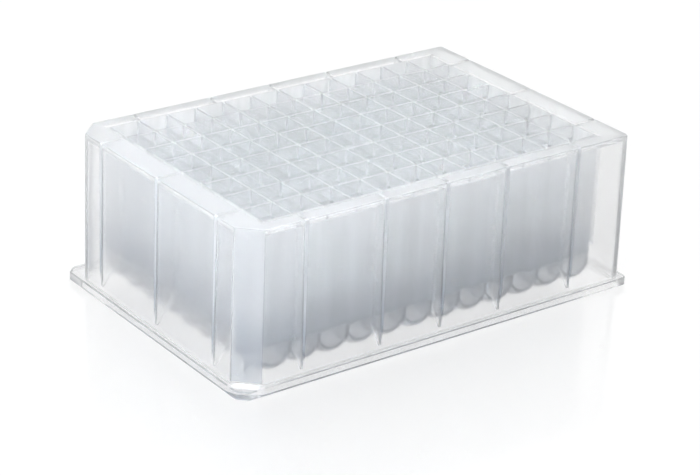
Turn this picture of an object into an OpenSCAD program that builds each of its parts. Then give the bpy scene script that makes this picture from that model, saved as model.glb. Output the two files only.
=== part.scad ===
// Deep-well laboratory plate, moulded in one piece.
// Square wells with round bottoms hang from the top face inside an open, drafted skirt on a flange.
// Units are millimetres. Origin: middle of the footprint on the table, +X along the length, +Z up.

/* [Overall] */
// Length of the flange, the plate's longest side
footprint_l = 127.76; // [90:0.01:180]
// Width of the flange
footprint_w = 85.48; // [60:0.01:130]
// Height from the table to the rims of the wells
plate_h = 44; // [24:0.5:70]

/* [Flange] */
// Height of the flange round the foot
flange_h = 2.5; // [2:0.1:5]
// How far the flange stands out from the skirt
ledge = 1.8; // [1:0.1:4]
// Corner cut of the flange at the marked (-X) end
flange_cut = 4; // [0:0.1:8]
// Corner radius of the flange
flange_r = 2; // [1:0.1:4]

/* [Skirt] */
// Wall thickness of the skirt
skirt_wall = 1.3; // [0.8:0.05:2]
// How much each side of the skirt leans in from foot to top
skirt_draft = 0.45; // [0.1:0.05:1.5]
// Leg of the two chamfered upright corners at the marked (-X) end
corner_cut = 5.4; // [3:0.1:9]
// Radius of the skirt's upright edges at the top
corner_r = 1; // [0.5:0.1:2]
// Small bevel on the outer edges of the top and the flange
edge_break = 0.3; // [0.1:0.05:0.6]

/* [Top] */
// Thickness of the top land between the wells and the skirt
land_t = 1.9; // [1:0.1:3]
// Least width of the land between the well block and the skirt's inner face
land_min = 2; // [1:0.1:6]

/* [Wells] */
// Distance between neighbouring well centres
well_pitch = 9; // [6:0.1:12]
// Wall between two wells at the rim, and of the block's outer wall
partition = 0.8; // [0.5:0.05:1.4]
// Narrowing of a well from rim to floor
well_taper = 0.4; // [0.1:0.05:1]
// Thickness of the round bottoms
floor_wall = 0.9; // [0.5:0.05:1.2]
// Radius of the flat spot under each round bottom
dome_flat = 1; // [0.3:0.1:2]
// Bevel on the block's four upright corners
block_cut = 0.9; // [0.4:0.1:2]

/* [Ribs] */
// Rib thickness under the land
rib_top = 1.2; // [0.6:0.1:2]
// Rib thickness at the foot
rib_foot = 0.8; // [0.4:0.1:1.6]
// Height at which a rib's free edge leaves the skirt
rib_z = 3; // [1:0.5:10]
// Steepness of a rib's free edge in degrees
rib_slope = 55; // [20:1:70]
// Inner pair of ribs on a long side, as a share of the length from the middle
rib_near = 0.153; // [0.05:0.001:0.2]
// Outer pair of ribs on a long side, as a share of the length from the middle
rib_far = 0.344; // [0.25:0.001:0.4]
// Pair of ribs on a short side, as a share of the width from the middle
rib_end = 0.316; // [0.1:0.001:0.4]

/* [Stacking] */
// Depth of the recess that takes the top of the plate below
stack_depth = 1.6; // [0.5:0.1:2]
// Clearance each side between that recess and the top of the plate below
stack_clearance = 0.35; // [0.1:0.05:1]
// Clearance between the well bottoms and the plate below when stacked
stack_gap = 0.3; // [0.1:0.1:2]

/* [Hidden] */
fine = 96;
past = 1;
half_l = footprint_l / 2;
half_w = footprint_w / 2;
top_l = half_l - ledge - skirt_draft;
top_w = half_w - ledge - skirt_draft;
columns = floor(2 * (top_l - skirt_wall - land_min) / well_pitch);
rows = floor(2 * (top_w - skirt_wall - land_min) / well_pitch);
bottom_gap = stack_depth + stack_gap;
half_cell = well_pitch / 2;
rim_half = (well_pitch - partition) / 2;
foot_half = rim_half - well_taper / 2;
block_l = columns * well_pitch / 2 + partition / 2;
block_w = rows * well_pitch / 2 + partition / 2;
block_draft = well_taper / 2;
dome_r = norm([half_cell, half_cell + partition / 2 - block_draft]) + 0.15;
well_r = max(dome_r - floor_wall, foot_half * sqrt(2) + 0.05);
dome_z = bottom_gap + sqrt(dome_r * dome_r - dome_flat * dome_flat);
inner_r = 0.6;

// Corners of a rectangle with its two -X corners cut, set inwards by d on every side.
function cut_rectangle(l, w, cut, d) =
    let (x = l - d, y = w - d, c = cut - d * (2 - sqrt(2)))
    [[-x + c, -y], [x, -y], [x, y], [-x + c, y], [-x, y - c], [-x, -y + c]];

// A body that follows a convex outline: the profile [distance, z] goes round every edge and corner.
module swept(outline, profile) {
    n = len(outline);
    z0 = profile[0][1];
    z1 = profile[len(profile) - 1][1];
    section = concat([[0, z0]], profile, [[0, z1]]);
    translate([0, 0, z0]) linear_extrude(z1 - z0) polygon(outline);
    for (i = [0:n - 1]) {
        run = outline[(i + 1) % n] - outline[i];
        translate(concat(outline[i], 0)) {
            rotate_extrude($fn = fine) polygon(section);
            rotate([0, 0, atan2(run[1], run[0])]) mirror([0, 1, 0])
                rotate([90, 0, 90]) linear_extrude(norm(run)) polygon(section);
        }
    }
}

// Repeats its child at every well centre.
module at_wells() {
    for (c = [0:columns - 1], r = [0:rows - 1])
        translate([(c - (columns - 1) / 2) * well_pitch, (r - (rows - 1) / 2) * well_pitch, 0])
            children();
}

// A bar with a tapering section: half width b at z0 and t at z1, running along X.
module bar(b, t, z0, z1, length) {
    rotate([90, 0, 90]) linear_extrude(length, center = true)
        polygon([[-b, z0], [b, z0], [t, z1], [-t, z1]]);
}

// Flange round the foot.
module flange() {
    c = flange_cut * (2 - sqrt(2));
    swept(cut_rectangle(half_l, half_w, c, flange_r), [
        [flange_r - edge_break, 0],
        [flange_r, edge_break],
        [flange_r, flange_h - edge_break],
        [flange_r - edge_break, flange_h]
    ]);
}

// Outside of the skirt, leaning in towards the top.
module skirt() {
    swept(cut_rectangle(top_l, top_w, corner_cut, corner_r), [
        [corner_r + skirt_draft * (plate_h - stack_depth) / plate_h, stack_depth],
        [corner_r + skirt_draft * edge_break / plate_h, plate_h - edge_break],
        [corner_r - edge_break, plate_h]
    ]);
}

// Space inside the skirt, under the land.
module hollow() {
    swept(cut_rectangle(top_l, top_w, corner_cut, skirt_wall + inner_r), [
        [inner_r + skirt_draft, 0],
        [inner_r + skirt_draft * land_t / plate_h, plate_h - land_t]
    ]);
}

// Recess in the foot that drops over the top of the plate below.
module recess() {
    r = corner_r + stack_clearance;
    swept(cut_rectangle(top_l, top_w, corner_cut, corner_r), [[r, -past], [r, stack_depth]]);
}

// Well block down to the middle of the round bottoms.
module block() {
    drop = block_draft * (plate_h - dome_z) / (plate_h - bottom_gap);
    intersection() {
        translate([0, 0, dome_z]) linear_extrude(plate_h - dome_z) polygon([
            for (s = [[1, 1], [-1, 1], [-1, -1], [1, -1]], k = s[0] * s[1] > 0 ? [0, 1] : [1, 0])
                [s[0] * (block_l - block_cut * k), s[1] * (block_w - block_cut * (1 - k))]
        ]);
        bar(block_w - drop, block_w, dome_z, plate_h, 2 * block_l);
        rotate([0, 0, 90]) bar(block_l - drop, block_l, dome_z, plate_h, 2 * block_w);
    }
}

// Round underside of one well, cut to its cell.
module bowl() {
    intersection() {
        translate([-half_cell, -half_cell, bottom_gap])
            cube([well_pitch, well_pitch, dome_z - bottom_gap]);
        translate([0, 0, dome_z]) sphere(dome_r, $fn = fine);
    }
}

// Space inside one well: a tapering square shaft with a round bottom.
module well() {
    grow = (rim_half - foot_half) / (plate_h - bottom_gap);
    z0 = bottom_gap + floor_wall;
    b = foot_half + grow * floor_wall;
    t = rim_half + grow * past;
    intersection() {
        bar(b, t, z0, plate_h + past, well_pitch);
        rotate([0, 0, 90]) bar(b, t, z0, plate_h + past, well_pitch);
        union() {
            translate([0, 0, dome_z]) sphere(well_r, $fn = fine);
            translate([0, 0, dome_z]) cylinder(h = plate_h, r = dome_r, $fn = fine);
        }
    }
}

// One rib from the block (at the origin) to the skirt, span long, running along X.
module rib(span) {
    bite = partition / 2;
    z_in = rib_z + (span + bite) * tan(rib_slope);
    z_top = plate_h - land_t / 2;
    intersection() {
        rotate([90, 0, 0]) linear_extrude(2 * rib_top, center = true)
            polygon([[-bite, z_in], [span, rib_z], [span + skirt_wall / 2, rib_z],
                [span + skirt_wall / 2, z_top], [-bite, z_top]]);
        bar(rib_foot / 2, rib_top / 2, rib_z, z_top, 4 * span);
    }
}

// All ribs between the block and the skirt.
module ribs() {
    side = top_w - skirt_wall - block_w;
    end = top_l - skirt_wall - block_l;
    cut_mid = corner_cut / 2;
    for (m = [-1, 1]) {
        for (x = [-rib_far, -rib_near, 0, rib_near, rib_far])
            translate([x * footprint_l, m * block_w, 0]) rotate([0, 0, 90 * m]) rib(side);
        for (y = [-rib_end, 0, rib_end])
            translate([m * block_l, y * footprint_w, 0]) rotate([0, 0, 90 - 90 * m]) rib(end);
        corner_rib([block_l - block_cut / 2, m * (block_w - block_cut / 2)],
            [top_l - skirt_wall, m * (top_w - skirt_wall)]);
        corner_rib([-block_l + block_cut / 2, m * (block_w - block_cut / 2)],
            [-top_l + cut_mid + skirt_wall / sqrt(2), m * (top_w - cut_mid - skirt_wall / sqrt(2))]);
    }
}

// One rib across a corner, from the block's corner to the skirt's.
module corner_rib(from, to) {
    run = to - from;
    translate(concat(from, 0)) rotate([0, 0, atan2(run[1], run[0])]) rib(norm(run));
}

// The whole plate.
module well_plate() {
    color("aliceblue")
    difference() {
        union() {
            difference() {
                union() {
                    flange();
                    skirt();
                }
                hollow();
                recess();
            }
            ribs();
            block();
            at_wells() bowl();
        }
        at_wells() well();
    }
}

well_plate();
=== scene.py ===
# %% [markdown]
# # A deep-well plate in natural polypropylene
# On the bench this is one hollow moulding: a block of square wells hangs inside a clear-ish skirt.
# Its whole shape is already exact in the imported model, so nothing is modelled twice here. What is
# left to make is what the eye gets from it: how milky plastic bends, scatters and keeps light.

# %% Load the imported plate
import bmesh
import bpy
import math
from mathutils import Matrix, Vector


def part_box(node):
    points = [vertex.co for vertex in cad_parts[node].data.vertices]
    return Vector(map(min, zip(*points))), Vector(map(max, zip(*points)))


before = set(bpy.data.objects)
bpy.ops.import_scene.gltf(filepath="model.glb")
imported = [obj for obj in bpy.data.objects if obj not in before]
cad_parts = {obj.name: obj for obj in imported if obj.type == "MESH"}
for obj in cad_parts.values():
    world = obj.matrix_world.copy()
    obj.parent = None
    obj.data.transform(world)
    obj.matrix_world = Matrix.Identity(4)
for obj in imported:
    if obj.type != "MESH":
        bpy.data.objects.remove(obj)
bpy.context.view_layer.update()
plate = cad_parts["well_plate"]
low, high = (Vector(c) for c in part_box("well_plate"))
print("plate", [round(1000 * v, 2) for v in high - low], "mm,", len(plate.data.polygons), "triangles")

# %% [markdown]
# The CAD's flat faces and round well bottoms come as triangles with their own normals, split along
# the sharp edges. The shading could be smoothed by hand, but the moulding has its crisp edges and
# true curves already, so the mesh stays as it is and only the material changes.

# %% Colours as hex, lengths as millimetres
MM = 0.001
WHITE = "#FFFFFF"


def linear(hex_colour):
    """An sRGB hex colour as the linear RGBA that a shader socket takes."""
    parts = [int(hex_colour[i:i + 2], 16) / 255 for i in (1, 3, 5)]
    return [c / 12.92 if c <= 0.04045 else ((c + 0.055) / 1.055) ** 2.4 for c in parts] + [1.0]


# %% [markdown]
# A node tree in code is easy to lose track of. One small function adds any node, sets its own
# properties by name and either links or fills each of its inputs, so a material reads top to bottom.

# %% One function adds a node


def add(tree, kind, inputs=None, **settings):
    """Adds a node; an input given as a node or a socket is linked, any other value is set."""
    made = tree.nodes.new(kind)
    for name, value in settings.items():
        setattr(made, name, value)
    for key, value in (inputs or {}).items():
        if isinstance(value, bpy.types.Node):
            value = value.outputs[0]
        if isinstance(value, bpy.types.NodeSocket):
            tree.links.new(value, made.inputs[key])
        else:
            made.inputs[key].default_value = value
    return made


def empty_tree(owner):
    """The node tree of a material or a world, with no nodes yet."""
    owner.use_nodes = True
    owner.node_tree.nodes.clear()
    return owner.node_tree


# %% [markdown]
# Natural polypropylene has no pigment. Its crystals scatter light inside the wall, so a thin wall
# is see-through and a thick one, or a rib seen end on, goes white. A flat see-through colour would
# miss that. Real refraction with a scattering volume inside gives it, and gives the grey outlines
# that every edge of clear plastic has against a bright background.
#
# How milky a face is depends on where it is on the plate, so the material first works out where
# each point lies: how far along and across, and how far outside the block of wells.

# %% Where on the plate a point is
BLOCK_X, BLOCK_Y = 54.4, 36.4  # half sizes of the block of wells, mm
LAND = high.z / MM  # height of the rims and of the land round them, mm
FLANGE = 2.5  # height of the flange at the foot, mm
pp = bpy.data.materials.new("injection_moulded_natural_polypropylene")
tree = empty_tree(pp)
place = add(tree, "ShaderNodeTexCoord").outputs["Object"]
xyz = add(tree, "ShaderNodeSeparateXYZ", {0: place})
X, Y, Z = (xyz.outputs[k] for k in "XYZ")
along = add(tree, "ShaderNodeMath", {0: X}, operation="ABSOLUTE")
across = add(tree, "ShaderNodeMath", {0: Y}, operation="ABSOLUTE")
past_end = add(tree, "ShaderNodeMath", {0: along, 1: BLOCK_X * MM}, operation="SUBTRACT")
past_side = add(tree, "ShaderNodeMath", {0: across, 1: BLOCK_Y * MM}, operation="SUBTRACT")
past_block = add(tree, "ShaderNodeMath", {0: past_end, 1: past_side}, operation="MAXIMUM")
print("rims and land", round(LAND, 1), "mm up")

# %% [markdown]
# Every finish is a share of milk that holds between soft edges. An edge is a length, the place in
# millimetres where the finish starts and the place where it is full. Multiplying the edges makes a
# zone, as overlapping masks do in a paint shop.

# %% A finish between soft edges


def finish(share, *edges):
    """A share of milk that fades in over each edge: (length, starts, full), the last two in mm."""
    for length, starts, full in edges:
        edge = add(tree, "ShaderNodeMapRange", {
            "Value": length, "From Min": starts * MM, "From Max": full * MM},
            interpolation_type="SMOOTHSTEP")
        share = add(tree, "ShaderNodeMath", {0: share, 1: edge}, operation="MULTIPLY")
    return share


ON_THE_BLOCK = (past_block, 0.5, 0.3)
OFF_THE_BLOCK = (past_block, 0.3, 0.5)
OUTER_WALLS = (past_block, -1.3, -1.0)
INNER_WALLS = (past_block, -1.0, -1.3)
ABOVE_FLANGE = (Z, FLANGE, FLANGE + 0.2)
print("edges are soft over", round(ABOVE_FLANGE[2] - ABOVE_FLANGE[1], 1), "mm and more")

# %% [markdown]
# The pins that form the wells are spark-eroded, so the walls take a satin. The melt runs down the
# outer walls from the top and leaves faint upright flow streaks, a few millimetres wide and many
# times as long. A noise that is stretched upright makes the satin there stronger and weaker. The
# round bottoms are thick and come off polished pins, so they are clearer and bend the light like
# lenses. The mouths are polished as well, to let a tip or a seal slide: the satin fades in with
# depth between the wells, and the top face of each rim has half of what its sides have.

# %% Satin wells with flow streaks
SATIN = 0.42  # share of milk on a wall
STREAK = 0.05  # how much of it the streaks add or take away
STREAK_WIDTH, STREAK_LENGTH = 4.0, 60.0  # mm
CLEARER_MOUTH = 0.22  # share that a mouth lacks
MOUTH_TOP, MOUTH_DEPTH = 2.0, 7.0  # it fades between these depths, mm
CLEAR_BOTTOMS = 0.5  # part of the satin that a bottom keeps
BOTTOMS_BELOW, WALLS_ABOVE = 7.0, 12.0  # heights, mm
RIM_EDGE = 0.25  # the satin is half at the top of a rim and full this far below it, mm
stretched = add(tree, "ShaderNodeMapping", {"Vector": place, "Scale": [
    1 / (size * MM) for size in (STREAK_WIDTH, STREAK_WIDTH, STREAK_LENGTH)]})
flow = add(tree, "ShaderNodeTexNoise", {"Vector": stretched, "Scale": 1.0, "Detail": 2.0})
streaks = add(tree, "ShaderNodeMapRange", {
    "Value": flow, "From Min": 0.3, "From Max": 0.7, "To Min": -STREAK, "To Max": STREAK})
streaks = finish(streaks, OUTER_WALLS)
mouths = finish(CLEARER_MOUTH, INNER_WALLS, (Z, LAND - MOUTH_DEPTH, LAND - MOUTH_TOP))
walls = add(tree, "ShaderNodeMath", {0: streaks, 1: SATIN}, operation="ADD")
walls = add(tree, "ShaderNodeMath", {0: walls, 1: mouths}, operation="SUBTRACT")
bottoms = add(tree, "ShaderNodeMapRange", {
    "Value": Z, "From Min": BOTTOMS_BELOW * MM, "From Max": WALLS_ABOVE * MM,
    "To Min": CLEAR_BOTTOMS, "To Max": 1.0}, interpolation_type="SMOOTHSTEP")
walls = add(tree, "ShaderNodeMath", {0: walls, 1: bottoms}, operation="MULTIPLY")
wells = finish(walls, ON_THE_BLOCK, (Z, LAND + RIM_EDGE, LAND - RIM_EDGE))
print("flow streaks", STREAK_WIDTH, "mm wide")

# %% [markdown]
# Where a rib meets the skirt the moulding is thicker and cools last. The skin sinks a hair there
# and the crystals grow larger, so each rib reads through the skirt as a pale line. Without it a
# rib this thin would only show as two dark edges. Through the milky land the same ribs read the
# other way round, as clearer marks.

# %% Ribs that read through
LONG_SIDE_RIBS, SHORT_SIDE_RIBS = (0.0, 19.55, 43.95), (0.0, 27.01)  # mm from the middle
RIB_LINE = 0.8  # share of milk on a line
RIB_HALF, RIB_DRAFT = 0.3, 0.007  # half width at the foot in mm, and what it gains for each mm up
RIB_ENDS, RIB_FULL = 4.5, 10.0  # a line fades in between these heights, mm
RIB_MARK, MARK_HALF = 0.6, 0.6  # part of the land's milk that a mark lacks, and half its width, mm
LINE_EDGE, MARK_EDGE = 0.12, 0.15  # half the width over which each fades, mm
half_width = add(tree, "ShaderNodeMath", {0: Z, 1: RIB_DRAFT}, operation="MULTIPLY")
ribs, marks = 0.0, 0.0
for length, centres, outer_skin, land_beside in (
        (along, LONG_SIDE_RIBS, (across, 39.9, 40.1), (past_side, 0.2, 0.4)),
        (across, SHORT_SIDE_RIBS, (along, 61.0, 61.2), (past_end, 0.2, 0.4))):
    for centre in centres:
        off = add(tree, "ShaderNodeMath", {0: length, 1: centre * MM}, operation="SUBTRACT")
        off = add(tree, "ShaderNodeMath", {0: off}, operation="ABSOLUTE")
        mark = finish(RIB_MARK, (off, MARK_HALF + MARK_EDGE, MARK_HALF - MARK_EDGE), land_beside)
        marks = add(tree, "ShaderNodeMath", {0: marks, 1: mark}, operation="MAXIMUM")
        off = add(tree, "ShaderNodeMath", {0: off, 1: half_width}, operation="SUBTRACT")
        line = finish(RIB_LINE, (off, RIB_HALF + LINE_EDGE, RIB_HALF - LINE_EDGE), outer_skin,
                      (Z, RIB_ENDS, RIB_FULL))
        ribs = add(tree, "ShaderNodeMath", {0: ribs, 1: line}, operation="MAXIMUM")
print(len(LONG_SIDE_RIBS) * 2 - 1, "ribs a long side,", len(SHORT_SIDE_RIBS) * 2 - 1, "a short side")

# %% [markdown]
# The flat land round the wells and the two cut corners have a fine texture, for a label or a
# gripper. It makes them whiter than the clear wall between them. Only the land's top face has it,
# so its outer edge stays crisp. A cut face is found by its distance from the middle along the
# diagonal, which shrinks with height as the skirt leans in.

# %% Textured land and cut corners
TEXTURED_LAND, TEXTURED_CUT = 0.48, 0.45  # shares of milk
CUT_STARTS, CUT_FULL = 97.1, 97.3  # how far out a cut face lies, across less along, mm
CUT_DRAFT = 0.0145  # how much that shrinks for each mm up
POLISHED = 0.012  # share of milk that even the clear skin has
land = finish(TEXTURED_LAND, OFF_THE_BLOCK, (Z, LAND - 0.2, LAND - 0.1))
unmarked = add(tree, "ShaderNodeMath", {0: 1.0, 1: marks}, operation="SUBTRACT")
land = add(tree, "ShaderNodeMath", {0: land, 1: unmarked}, operation="MULTIPLY")
corner = add(tree, "ShaderNodeMath", {0: across, 1: X}, operation="SUBTRACT")
draft = add(tree, "ShaderNodeMath", {0: Z, 1: CUT_DRAFT}, operation="MULTIPLY")
corner = add(tree, "ShaderNodeMath", {0: corner, 1: draft}, operation="ADD")
cut = finish(TEXTURED_CUT, (corner, CUT_STARTS, CUT_FULL), ABOVE_FLANGE)
satin = POLISHED
for zone in (wells, ribs, land, cut):
    satin = add(tree, "ShaderNodeMath", {0: satin, 1: zone}, operation="MAXIMUM")
print("four finishes on one moulding, and a plain polish between them")

# %% [markdown]
# A face is then two things at once: clear plastic that bends the light cleanly, and a thin milk
# that sends it on in every direction, half of it backwards and half of it forwards. The milk's own
# colour is a pale cool white, and towards the round bottoms it is painted greyer: painted shade, for
# the lower block getting less light.
#
# The skirt's own skin is a little rough, because crystals reach its surface. What stands close
# behind it stays sharp, and the wells a few millimetres further in look soft.

# %% Clear and milky skin
# The top colour is the milk itself; the lower colour is the same milk darkened as painted shade.
TOP_MILK, PAINTED_SHADE_MILK = "#F9FBFC", "#CCD3DB"
UNSHADED_ABOVE, FULL_SHADE_BELOW = 24.0, 6.0  # heights, mm
SOFT_SKIRT = 0.18  # roughness
INDEX = 1.49  # of refraction, polypropylene
# Painted shade: the milk colour darkens from the top colour to the shaded one between these heights.
painted_shade = add(tree, "ShaderNodeMapRange", {
    "Value": Z, "From Min": UNSHADED_ABOVE * MM, "From Max": FULL_SHADE_BELOW * MM},
    interpolation_type="SMOOTHSTEP")
milk_and_painted_shade = add(tree, "ShaderNodeMix", {
    "Factor": painted_shade, "A": linear(TOP_MILK), "B": linear(PAINTED_SHADE_MILK)},
    data_type="RGBA").outputs["Result"]
front_scatter = add(tree, "ShaderNodeBsdfDiffuse", {"Color": milk_and_painted_shade})
back_scatter = add(tree, "ShaderNodeBsdfTranslucent", {"Color": milk_and_painted_shade})
milk = add(tree, "ShaderNodeMixShader", {0: 0.5, 1: front_scatter, 2: back_scatter})
softness = finish(SOFT_SKIRT, (past_block, 1.0, 1.5), ABOVE_FLANGE)
clear = add(tree, "ShaderNodeBsdfPrincipled", {
    "Base Color": linear(WHITE), "IOR": INDEX, "Roughness": softness, "Transmission Weight": 1.0})
skin = add(tree, "ShaderNodeMixShader", {0: satin, 1: clear, 2: milk})
print("milk from", TOP_MILK, "to", PAINTED_SHADE_MILK)

# %% [markdown]
# Inside the wall the crystals scatter forwards more than back, about once every nine millimetres
# of plastic. Most light crosses the thin skirt untouched, and a rib seen end on goes milky.

# %% Scattering crystals inside the wall
DENSITY = 110.0  # scatterings a metre
FORWARDS = 0.5  # 0 scatters evenly, 1 straight on
crystals = add(tree, "ShaderNodeVolumeScatter", {
    "Color": linear(WHITE), "Density": DENSITY, "Anisotropy": FORWARDS})
add(tree, "ShaderNodeOutputMaterial", {"Surface": skin, "Volume": crystals})
if not plate.material_slots:
    plate.data.materials.append(pp)
for slot in plate.material_slots:
    slot.material = pp
print("one light path is scattered about every", round(1 / DENSITY / MM, 1), "mm")

# %% [markdown]
# The plate stands on a plain white sheet with a slight gloss, so its foot is mirrored softly. A ray
# that comes straight from the camera, or was only mirrored or let through on its way, sees the
# sheet as white paper with the plate's shadow on it. A ray that the milk threw back or a crystal
# turned aside finds a darker sheet, so the light that the sheet gives the plate stays modest.

# %% White sheet
SHEET_HALF, SHEET_GAP = 3.0, 0.1 * MM  # m; the gap keeps the foot from lying in the sheet
LIT_SHEET, SHADED_SHEET = "#202020", "#707070"
GLOW, GLOW_THROUGH_PLASTIC = 0.92, 1.0
MIRROR, MIRROR_ROUGHNESS = 0.26, 0.12
sheet_mesh = bpy.data.meshes.new("sheet")
sheet = bpy.data.objects.new("sheet", sheet_mesh)
bpy.context.collection.objects.link(sheet)
shape = bmesh.new()
bmesh.ops.create_grid(shape, x_segments=1, y_segments=1, size=SHEET_HALF)
bmesh.ops.translate(shape, verts=shape.verts, vec=(0, 0, low.z - SHEET_GAP))
shape.to_mesh(sheet_mesh)
shape.free()

paper = bpy.data.materials.new("glossy_white_sheet")
tree = empty_tree(paper)
rays = add(tree, "ShaderNodeLightPath").outputs
through = add(tree, "ShaderNodeMapRange", {
    "Value": rays["Transmission Depth"], "To Min": GLOW, "To Max": GLOW_THROUGH_PLASTIC})
glow = add(tree, "ShaderNodeEmission", {"Color": linear(WHITE), "Strength": through})
shade = add(tree, "ShaderNodeBsdfDiffuse", {"Color": linear(SHADED_SHEET)})
bright = add(tree, "ShaderNodeAddShader", {0: glow, 1: shade})
mirror = add(tree, "ShaderNodeBsdfGlossy", {"Roughness": MIRROR_ROUGHNESS})
top = add(tree, "ShaderNodeMixShader", {0: MIRROR, 1: bright, 2: mirror})
lit = add(tree, "ShaderNodeBsdfDiffuse", {"Color": linear(LIT_SHEET)})
clean_steps = add(tree, "ShaderNodeMath", {
    0: rays["Glossy Depth"], 1: rays["Transmission Depth"]}, operation="ADD")
scattered_steps = add(tree, "ShaderNodeMath", {
    0: rays["Ray Depth"], 1: clean_steps}, operation="SUBTRACT")
straight = add(tree, "ShaderNodeMath", {0: scattered_steps, 1: 0.5}, operation="LESS_THAN")
paper_skin = add(tree, "ShaderNodeMixShader", {0: straight, 1: lit, 2: top})
add(tree, "ShaderNodeOutputMaterial", {"Surface": paper_skin})
sheet_mesh.materials.append(paper)
print("sheet at", round((low.z - SHEET_GAP) / MM, 2), "mm")

# %% [markdown]
# The room is plain: a broad bright ceiling and dim walls. A ray that comes straight from the camera,
# off a gloss or out through the plastic sees plain white instead, so the background is white and so
# is whatever the skirt bends into view. What the milk throws back is lit by the room itself.

# %% Bright ceiling, white background
WALLS, CEILING = 0.05, 1.2
WALLS_BELOW, CEILING_ABOVE = 0.2, 0.9  # how steeply up a direction points, 1 being straight up
world = bpy.data.worlds.new("bright_ceiling")
bpy.context.scene.world = world
tree = empty_tree(world)
direction = add(tree, "ShaderNodeTexCoord").outputs["Generated"]
up = add(tree, "ShaderNodeSeparateXYZ", {0: direction}).outputs["Z"]
room = add(tree, "ShaderNodeMapRange", {
    "Value": up, "From Min": WALLS_BELOW, "From Max": CEILING_ABOVE,
    "To Min": WALLS, "To Max": CEILING}, interpolation_type="SMOOTHSTEP")
rays = add(tree, "ShaderNodeLightPath").outputs
seen = 0.0
for kind in ("Is Camera Ray", "Is Glossy Ray", "Is Transmission Ray"):
    seen = add(tree, "ShaderNodeMath", {0: rays[kind], 1: seen}, operation="MAXIMUM")
strength = add(tree, "ShaderNodeMapRange", {"Value": seen, "To Min": room, "To Max": 1.0})
sky = add(tree, "ShaderNodeBackground", {"Color": linear(WHITE), "Strength": strength})
add(tree, "ShaderNodeOutputWorld", {"Surface": sky})
print("ceiling", CEILING, "and walls", WALLS)

# %% [markdown]
# Two soft boxes light it. One hangs over the plate, a little behind it. The other is small and low
# and stands close to the cut corner on the left, so the short side and the corner are paler than
# the long side, and the long side darkens towards its far end. Neither shows in a gloss, because
# the sheet would mirror it as a hard square.

# %% Soft boxes
AIM = Vector((0, 0, 0.02))  # both look at the middle of the plate, m
OVERHEAD_PLACE, OVERHEAD_SIZE, OVERHEAD_WATTS, OVERHEAD_COLOUR = (0.10, 0.20, 0.90), 0.9, 2.0, WHITE
LEFT_PLACE, LEFT_SIZE, LEFT_WATTS, LEFT_COLOUR = (-0.30, -0.18, 0.10), 0.25, 0.85, "#F0F5FF"


def soft_box(name, place, size, watts, colour):
    """A square lamp that looks at the plate."""
    light = bpy.data.lights.new(name, "AREA")
    light.shape = "SQUARE"
    light.size = size
    light.energy = watts
    light.color = linear(colour)[:3]
    lamp = bpy.data.objects.new(name, light)
    bpy.context.collection.objects.link(lamp)
    lamp.location = place
    lamp.visible_glossy = False
    aim = AIM - lamp.location
    lamp.rotation_euler = aim.to_track_quat("-Z", "Y").to_euler()
    print(name, round(aim.length, 2), "m away,", watts, "W")


soft_box("overhead_box", OVERHEAD_PLACE, OVERHEAD_SIZE, OVERHEAD_WATTS, OVERHEAD_COLOUR)
soft_box("left_box", LEFT_PLACE, LEFT_SIZE, LEFT_WATTS, LEFT_COLOUR)

# %% [markdown]
# The camera looks down a little over one cut corner, from far enough away that the plate's long
# edges only just run together. The lens is a long one, as for a product shot.

# %% Camera
CAMERA_PLACE = (-0.34585, -0.45446, 0.27249)  # m
CAMERA_TILT, CAMERA_ROLL, CAMERA_TURN = 65.540, -2.101, -36.324  # degrees
SENSOR_WIDTH, FOCAL_LENGTH, NEAREST = 36.0, 119.18, 0.01  # mm, mm and m
lens = bpy.data.cameras.new("camera")
camera = bpy.data.objects.new("camera", lens)
bpy.context.collection.objects.link(camera)
bpy.context.scene.camera = camera
lens.sensor_width = SENSOR_WIDTH
lens.lens = FOCAL_LENGTH
lens.clip_start = NEAREST
camera.location = CAMERA_PLACE
camera.rotation_euler = [math.radians(a) for a in (CAMERA_TILT, CAMERA_ROLL, CAMERA_TURN)]
print("camera", round(camera.location.length, 3), "m away")

# %% [markdown]
# Light has to cross dozens of thin walls before it leaves the block, so the paths are allowed to
# be long. With the usual dozen bounces the wells would turn grey for no real reason. Two settings
# that save time by blurring glossy paths and clamping bright ones lose light in the same way. With
# pure white milk a plate should vanish in an even white room, so both are set to zero.

# %% Long light paths
CLEAN_STEPS, SCATTERED_STEPS, HOLES = 96, 48, 32
scene = bpy.context.scene
scene.view_settings.view_transform = "Standard"
scene.cycles.max_bounces = CLEAN_STEPS
scene.cycles.transmission_bounces = CLEAN_STEPS
scene.cycles.glossy_bounces = CLEAN_STEPS
scene.cycles.diffuse_bounces = SCATTERED_STEPS
scene.cycles.volume_bounces = SCATTERED_STEPS
scene.cycles.transparent_max_bounces = HOLES
scene.cycles.blur_glossy = 0.0
scene.cycles.sample_clamp_indirect = 0.0
print("up to", CLEAN_STEPS, "steps a path, of which", SCATTERED_STEPS, "may be scattered")
